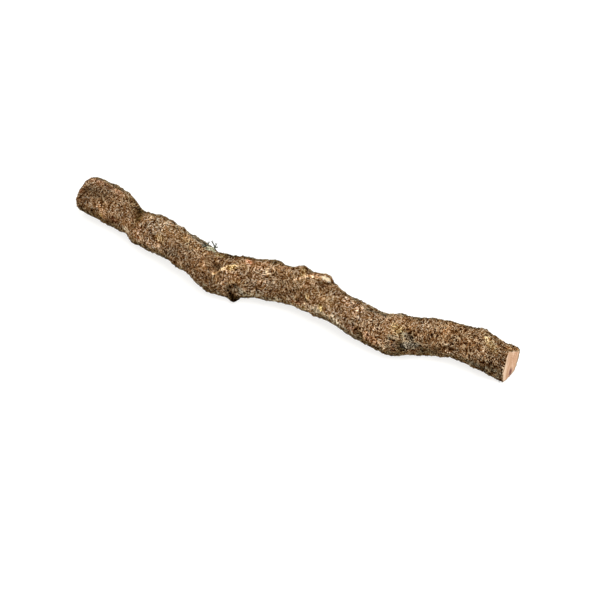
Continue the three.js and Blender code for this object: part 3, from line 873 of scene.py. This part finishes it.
# a crest has its full girth at its middle and a share of it at its ends
along = add(scatter, "GeometryNodeSplineParameter").outputs["Factor"]
swelling = {"Value": along, "From Max": 0.5, "To Min": CREST_START, "To Max": 1.0}
swell = add(scatter, "ShaderNodeMapRange", swelling).outputs[0]
fading = {"Value": along, "From Min": 0.5, "To Min": 1.0, "To Max": CREST_STOP}
fade = add(scatter, "ShaderNodeMapRange", fading).outputs[0]
thinner = {0: swell, 1: fade}
girth = add(scatter, "ShaderNodeMath", thinner, operation="MINIMUM").outputs[0]
rounding = {"Resolution": 3, "Radius": CREST_GIRTH}
profile = add(scatter, "GeometryNodeCurvePrimitiveCircle", rounding).outputs["Curve"]
crests = add(scatter, "GeometryNodeJoinGeometry")
for bend in CREST_BENDS:
    arching = {
        "Resolution": 2, "Start": (-CREST_HALF, 0, 0), "Middle": (0, bend, CREST_RISE),
        "End": (CREST_HALF, 0, 0),
    }
    arc = add(scatter, "GeometryNodeCurveQuadraticBezier", arching).outputs[0]
    sweeping = {"Curve": arc, "Profile Curve": profile, "Scale": girth, "Fill Caps": True}
    crest = add(scatter, "GeometryNodeCurveToMesh", sweeping).outputs[0]
    held = add(scatter, "GeometryNodeGeometryToInstance", {0: crest}).outputs[0]
    scatter.links.new(held, crests.inputs[0])

cover = add(scatter, "GeometryNodeInputNamedAttribute", {"Name": "cover"}, data_type="FLOAT")
thinning = {0: cover.outputs["Attribute"], 1: given.outputs["Ridges per square metre"]}
density = add(scatter, "ShaderNodeMath", thinning, operation="MULTIPLY").outputs[0]
sowing = {"Mesh": given.outputs["Bark"], "Density": density, "Seed": given.outputs["Seed"]}
spots = add(scatter, "GeometryNodeDistributePointsOnFaces", sowing)

# each crest has its own stretch and its own lean, and turns with the swirl that it lies in
stretches = {LEAST: CREST_STRETCH[0], MOST: CREST_STRETCH[1], SEED: 1}
stretch = add(scatter, "FunctionNodeRandomValue", stretches, data_type="FLOAT_VECTOR").outputs[0]
leans = {LEAST: CREST_LEAN[0], MOST: CREST_LEAN[1], SEED: 2}
lean = add(scatter, "FunctionNodeRandomValue", leans, data_type="FLOAT_VECTOR").outputs[0]
grain = add(scatter, "GeometryNodeInputNamedAttribute", {"Name": "grain"}, data_type="FLOAT_VECTOR")
swirl = {"Vector": grain.outputs["Attribute"], "Scale": 1 / SWIRL_SIZE, "Detail": 1.0}
swirl = add(scatter, "ShaderNodeTexNoise", swirl).outputs["Fac"]
swirling = {0: swirl, 1: (0.0, 0.0, SWIRL_TURNS * math.tau), 2: lean}
turn = add(scatter, "ShaderNodeVectorMath", swirling, operation="MULTIPLY_ADD").outputs[0]
turn = add(scatter, "FunctionNodeEulerToRotation", {0: turn}).outputs[0]
turning = {0: spots.outputs["Rotation"], 1: turn}
turned = add(scatter, "FunctionNodeRotateRotation", turning, rotation_space="LOCAL").outputs[0]
picks = {LEAST_WHOLE: 0, MOST_WHOLE: len(CREST_BENDS) - 1, SEED: 3}
pick = add(scatter, "FunctionNodeRandomValue", picks, data_type="INT").outputs[WHOLE]
placing = {
    "Points": spots.outputs["Points"], "Instance": crests.outputs[0], "Pick Instance": True,
    "Instance Index": pick, "Rotation": turned, "Scale": stretch,
}
placed = add(scatter, "GeometryNodeInstanceOnPoints", placing).outputs[0]
lucks = {LEAST: (0, 0, 0), MOST: (1, 1, 1), SEED: 5}
luck = add(scatter, "FunctionNodeRandomValue", lucks, data_type="FLOAT_VECTOR").outputs[0]
noted = add(
    scatter, "GeometryNodeStoreNamedAttribute", {"Geometry": placed, "Name": "luck", "Value": luck},
    data_type="FLOAT_VECTOR", domain="INSTANCE")
real = add(scatter, "GeometryNodeRealizeInstances", {0: noted.outputs[0]}).outputs[0]
soft = add(scatter, "GeometryNodeSetShadeSmooth", {"Geometry": real}).outputs[0]
coated = add(scatter, "GeometryNodeSetMaterial", {"Geometry": soft, "Material": cork}).outputs[0]
add(scatter, "NodeGroupOutput", {"Ridges": coated})

for name, seed in CREST_SEEDS.items():
    ridges = shown(name, bark_mesh.copy())
    sown = ridges.modifiers.new("corky ridges", "NODES")
    sown.node_group = scatter
    sown[density_input.identifier] = CRESTS_PER_SQUARE_METRE
    sown[seed_input.identifier] = seed
    made_plain(ridges)
    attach(ridges, "root")

# The lichen tuft
# A beard lichen on the leader's crest: a pale grey-green cushion of stubby lobes, and dark fronds
# that fork once. It grows out of the bark, and each lobe and frond is rooted in it.

LICHEN_LUCK = 8
SHOOT_SAG = 0.12
SHOOT_TAPER = 0.35
FORK_LENGTH = 0.55
FORK_GIRTH = 0.6
FORK_LEAN = 0.38

dice = np.random.default_rng(LICHEN_LUCK)


def shoots(name, girth):
    """An empty bunch of shoots of a girth."""
    bunch = bpy.data.curves.new(name, "CURVE")
    bunch.dimensions = "3D"
    bunch.bevel_depth = girth
    bunch.bevel_resolution = 1
    bunch.use_fill_caps = True
    return bunch


def grow(bunch, root, way, forks, girth=1.0):
    """Grows one bent shoot from a root, both in mm, and lets it fork."""
    sag = Vector(dice.normal(0, SHOOT_SAG, 3)) * way.length
    shoot = bunch.splines.new("POLY")
    shoot.points.add(3)
    for point, share in zip(shoot.points, (0, 1 / 3, 2 / 3, 1)):
        place = root + way * share + sag * (4 * share * (1 - share))
        point.co = (*(place * MM), 1)
        point.radius = girth * (1 - SHOOT_TAPER * share)
    if forks:
        side = way.orthogonal().normalized() * way.length
        side.rotate(Quaternion(way, dice.uniform(0, math.tau)))
        for lean in (FORK_LEAN, -FORK_LEAN):
            grow(bunch, root + way, way * FORK_LENGTH + side * lean, forks - 1, girth * FORK_GIRTH)


def finished(bunch, material):
    """The bunch as a piece of plain mesh, riding on the branch."""
    drawn = shown("shoots", bunch)
    mesh = plain_mesh(drawn)
    bpy.data.objects.remove(drawn)
    mesh.materials.clear()
    mesh.materials.append(material)
    piece = shown(bunch.name, mesh)
    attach(piece, "root")
    return piece


# Dry lichen, a felt of fine threads: quite without shine, and mottled where it has bleached.
MOTTLE_SIZE = 2.222 * MM
CUSHION_TONES = [(0.3, "#6d6a52"), (0.45, "#aaa68a"), (0.65, "#d9d3b8")]
FROND_TONES = [(0.3, "#24251f"), (0.5, "#45483e"), (0.7, "#7c7d6d")]


def lichen(name, tones):
    """A dry lichen that takes its tones from a fine mottle."""
    material, tree, shader = surface(name, 1.0, 0.0)
    place = add(tree, "ShaderNodeTexCoord").outputs["Object"]
    mottling = {"Vector": place, "Scale": 1 / MOTTLE_SIZE, "Detail": 1.0}
    mottle = add(tree, "ShaderNodeTexNoise", mottling).outputs["Fac"]
    colour = add(tree, "ShaderNodeValToRGB", {"Fac": mottle}, tones).outputs["Color"]
    tree.links.new(colour, shader.inputs["Base Color"])
    return material


# the cushion's middle and how far it spreads, and a lobe's length, in mm
CUSHION_MIDDLE = Vector((-73.5, -11.5, 40.5))
CUSHION_REACH = Vector((4.5, 2.6, 1.2))
LOBES = 60
LOBE_LENGTH = 1.4
LOBE_GIRTH = 0.8 * MM
LOBE_SPREAD = 0.5
LOBE_LEAN = 0.4

cushion = shoots("lichen_cushion", LOBE_GIRTH)
for _ in range(LOBES):
    aim = CUSHION_MIDDLE + CUSHION_REACH * Vector(dice.normal(0, LOBE_SPREAD, 3))
    nearest = int(np.argmin(np.linalg.norm(bark_points / MM - np.array(aim), axis=1)))
    foot = bark_mesh.vertices[nearest]
    way = foot.normal + Vector(dice.normal(0, LOBE_LEAN, 3))
    grow(cushion, foot.co / MM, way * LOBE_LENGTH, 0)
finished(cushion, lichen("pale lichen", CUSHION_TONES))

# each frond's root and tip in mm, and how far along that way it forks
FRONDS = [
    ((-78.4, -9.6, 40.4), (-79.4, -6.7, 44.4)),
    ((-72.2, -6, 39.9), (-76.6, -4.2, 45)),
    ((-72.3, -5.8, 40.2), (-72.2, -2.9, 43.2)),
    ((-72.8, -6.6, 39.8), (-70.2, -4.4, 40.3)),
    ((-80.6, -9.1, 41.4), (-84, -8.5, 44)),
    ((-80.3, -10.9, 41), (-83.5, -11.5, 42.4)),
    ((-76.4, -8.9, 40.8), (-81.9, -12, 42)),
]
FORK_PLACE = 0.75
FROND_GIRTH = 0.85 * MM

fronds = shoots("lichen_fronds", FROND_GIRTH)
for root, tip in FRONDS:
    grow(fronds, Vector(root), (Vector(tip) - Vector(root)) * FORK_PLACE, 1)
fronds_piece = finished(fronds, lichen("dark lichen", FROND_TONES))
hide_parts("lichen_tuft")

# The floor, the light and the view
# The branch lies on a sheet of white paper in a bright room. A large soft lamp stands over its tip
# and a weaker one over its butt, and the view looks down on it at a slant, from its tip's side.

FLOOR_REACH = 4
ROOM_LIGHT = 0.6

floor_corners = [(x * FLOOR_REACH, y * FLOOR_REACH, 0) for x, y in ((-1, -1), (1, -1), (1, 1), (-1, 1))]
floor_mesh = bpy.data.meshes.new("floor")
floor_mesh.from_pydata(floor_corners, [], [(0, 1, 2, 3)])
floor = shown("floor", floor_mesh)

# White paper, lit through from behind as well as from above: near white, with only a faint soft shadow.
paper, _, shader = surface("white paper", 0.9, 0.5)
shader.inputs["Base Color"].default_value = linear("#8e8e8c")
shader.inputs["Emission Color"].default_value = linear("#fffefc")
shader.inputs["Emission Strength"].default_value = 0.8
floor_mesh.materials.append(paper)

world = bpy.data.worlds.new("soft room")
world.use_nodes = True
world.node_tree.nodes["Background"].inputs["Color"].default_value = (1, 1, 1, 1)
world.node_tree.nodes["Background"].inputs["Strength"].default_value = ROOM_LIGHT
bpy.context.scene.world = world

LAMP_SIZE = 1.2
LAMPS = {"key": ((0.8, -0.3, 1.6), 30), "fill": ((-1.2, -0.3, 1.2), 8)}

for name, (place, power) in LAMPS.items():
    lamp = bpy.data.lights.new(name, "AREA")
    lamp.size = LAMP_SIZE
    lamp.energy = power
    holder = shown(name, lamp)
    holder.location = place
    holder.rotation_euler = (-Vector(place)).to_track_quat("-Z", "Y").to_euler()

VIEW_AZIMUTH = math.radians(33)
VIEW_ELEVATION = math.radians(38)
VIEW_DISTANCE = 1.75
VIEW_AIM = Vector((23.87, 10.82, 0)) * MM

back = Vector((
    math.sin(VIEW_AZIMUTH) * math.cos(VIEW_ELEVATION),
    -math.cos(VIEW_AZIMUTH) * math.cos(VIEW_ELEVATION),
    math.sin(VIEW_ELEVATION),
))
lens = bpy.data.cameras.new("view")
lens.lens = 100
lens.sensor_width = 36
camera = shown("view", lens)
camera.location = VIEW_AIM + back * VIEW_DISTANCE
camera.rotation_euler = (-back).to_track_quat("-Z", "Y").to_euler()
bpy.context.scene.camera = camera
bpy.context.scene.view_settings.view_transform = "Standard"
